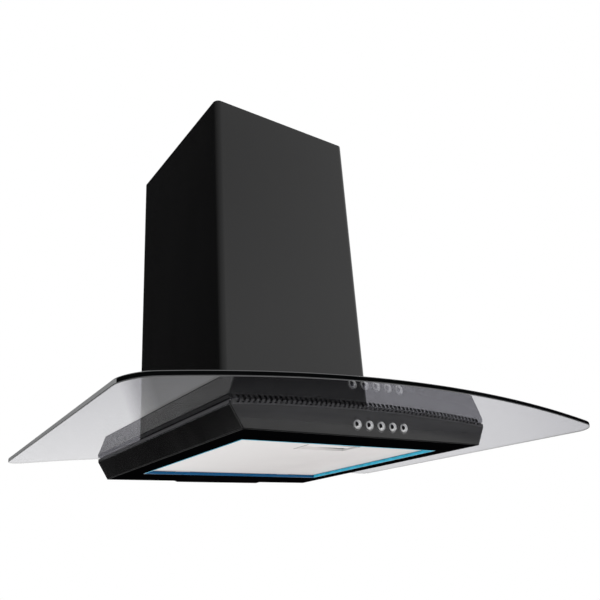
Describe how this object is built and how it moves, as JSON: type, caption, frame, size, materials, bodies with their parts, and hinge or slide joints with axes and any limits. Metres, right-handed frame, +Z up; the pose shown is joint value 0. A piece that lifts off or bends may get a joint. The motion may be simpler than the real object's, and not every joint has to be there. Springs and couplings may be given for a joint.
{
  "type": "range hood",
  "caption": "Wall-hung curved glass range hood with a telescoping chimney, push buttons, drop-down grease filter, lamp and ducted blower.",
  "frame": {"origin": "centre of the wall bracket's four screw holes, on the wall's face", "axes": "+X to the right as seen by a person facing the hood, +Y into the wall, +Z up"},
  "size_m": [0.599, 0.457, 0.485],
  "materials": {
    "black_enamel": "gloss",
    "smoked_glass": "gloss",
    "filter_silver": "satin",
    "aluminium_mesh": "satin",
    "film_blue": "gloss",
    "chrome": "polished",
    "zinc_steel": "satin",
    "black_plastic": "matte",
    "smoked_plastic": "gloss",
    "grey_plastic": "matte",
    "white_board": "satin",
    "black_rubber": "matte",
    "motor_alloy": "cast"
  },
  "bodies": {
    "canopy": {"canopy_shell": "black_enamel", "front_vent_strip": "black_enamel", "glass_gasket": "black_rubber", "corner_brackets": "zinc_steel", "underside_panel": "black_enamel", "opening_film": "film_blue", "glass_canopy": "smoked_glass", "glass_screws": "chrome", "button_bezels": "chrome", "switch_bank": "black_plastic", "switch_terminals": "zinc_steel", "switch_bracket": "zinc_steel", "lamp_lens": "smoked_plastic", "lamp_housing": "zinc_steel", "lamp_board": "white_board", "lamp_leds": "white_board", "blower_casing": "zinc_steel", "wall_bracket": "zinc_steel", "scroll_right": "grey_plastic", "scroll_left": "grey_plastic", "motor": "motor_alloy", "motor_bracket": "zinc_steel", "capacitor": "white_board", "capacitor_strap": "zinc_steel", "junction_box": "black_plastic", "junction_box_lid": "black_plastic", "cable_gland": "black_plastic", "outlet_flange": "black_plastic", "duct_spigot": "black_plastic", "flap_pins": "zinc_steel", "lower_chimney": "black_enamel", "chimney_lugs": "zinc_steel"},
    "upper_chimney": {"upper_chimney": "black_enamel", "top_bracket": "zinc_steel"},
    "impeller": {"fan_impeller": "aluminium_mesh", "motor_shaft": "zinc_steel"},
    "flap_left": {"flap_left": "black_plastic"},
    "flap_right": {"flap_right": "black_plastic"},
    "filter": {"filter_frame": "filter_silver", "filter_face": "filter_silver", "filter_back": "aluminium_mesh", "filter_core": "aluminium_mesh", "latch_pocket": "filter_silver"},
    "filter_latch": {"latch_slider": "filter_silver"},
    "button_off": {"button_off": "chrome"},
    "button_low": {"button_low": "chrome"},
    "button_medium": {"button_medium": "chrome"},
    "button_high": {"button_high": "chrome"},
    "button_lamp": {"button_lamp": "chrome"}
  },
  "joints": [
    {"name": "upper_chimney_slide", "type": "slide", "parent": "canopy", "child": "upper_chimney", "axis": [0, 0, 1], "range_m": [0, 0.34]},
    {"name": "impeller_spin", "type": "hinge", "parent": "canopy", "child": "impeller", "pos_m": [0, -0.092, -0.022], "axis": [1, 0, 0], "continuous": true},
    {"name": "flap_left_swing", "type": "hinge", "parent": "canopy", "child": "flap_left", "pos_m": [-0.0026, -0.1355, 0.0644], "axis": [0, 1, 0], "range_deg": [0, 75]},
    {"name": "flap_right_swing", "type": "hinge", "parent": "canopy", "child": "flap_right", "pos_m": [0.0026, -0.1355, 0.0644], "axis": [0, -1, 0], "range_deg": [0, 75]},
    {"name": "filter_drop", "type": "hinge", "parent": "canopy", "child": "filter", "pos_m": [0, -0.0811, -0.13658], "axis": [1, 0, 0], "range_deg": [0, 60]},
    {"name": "filter_latch_slide", "type": "slide", "parent": "filter", "child": "filter_latch", "axis": [0, 1, 0], "range_m": [0, 0.005], "stiffness_N_per_m": 400, "springref_m": -0.003},
    {"name": "button_off_press", "type": "slide", "parent": "canopy", "child": "button_off", "axis": [0, 1, 0], "range_m": [0, 0.0025], "stiffness_N_per_m": 600, "springref_m": -0.001},
    {"name": "button_low_press", "type": "slide", "parent": "canopy", "child": "button_low", "axis": [0, 1, 0], "range_m": [0, 0.0025], "stiffness_N_per_m": 600, "springref_m": -0.001},
    {"name": "button_medium_press", "type": "slide", "parent": "canopy", "child": "button_medium", "axis": [0, 1, 0], "range_m": [0, 0.0025], "stiffness_N_per_m": 600, "springref_m": -0.001},
    {"name": "button_high_press", "type": "slide", "parent": "canopy", "child": "button_high", "axis": [0, 1, 0], "range_m": [0, 0.0025], "stiffness_N_per_m": 600, "springref_m": -0.001},
    {"name": "button_lamp_press", "type": "slide", "parent": "canopy", "child": "button_lamp", "axis": [0, 1, 0], "range_m": [0, 0.0025], "stiffness_N_per_m": 600, "springref_m": -0.001}
  ]
}
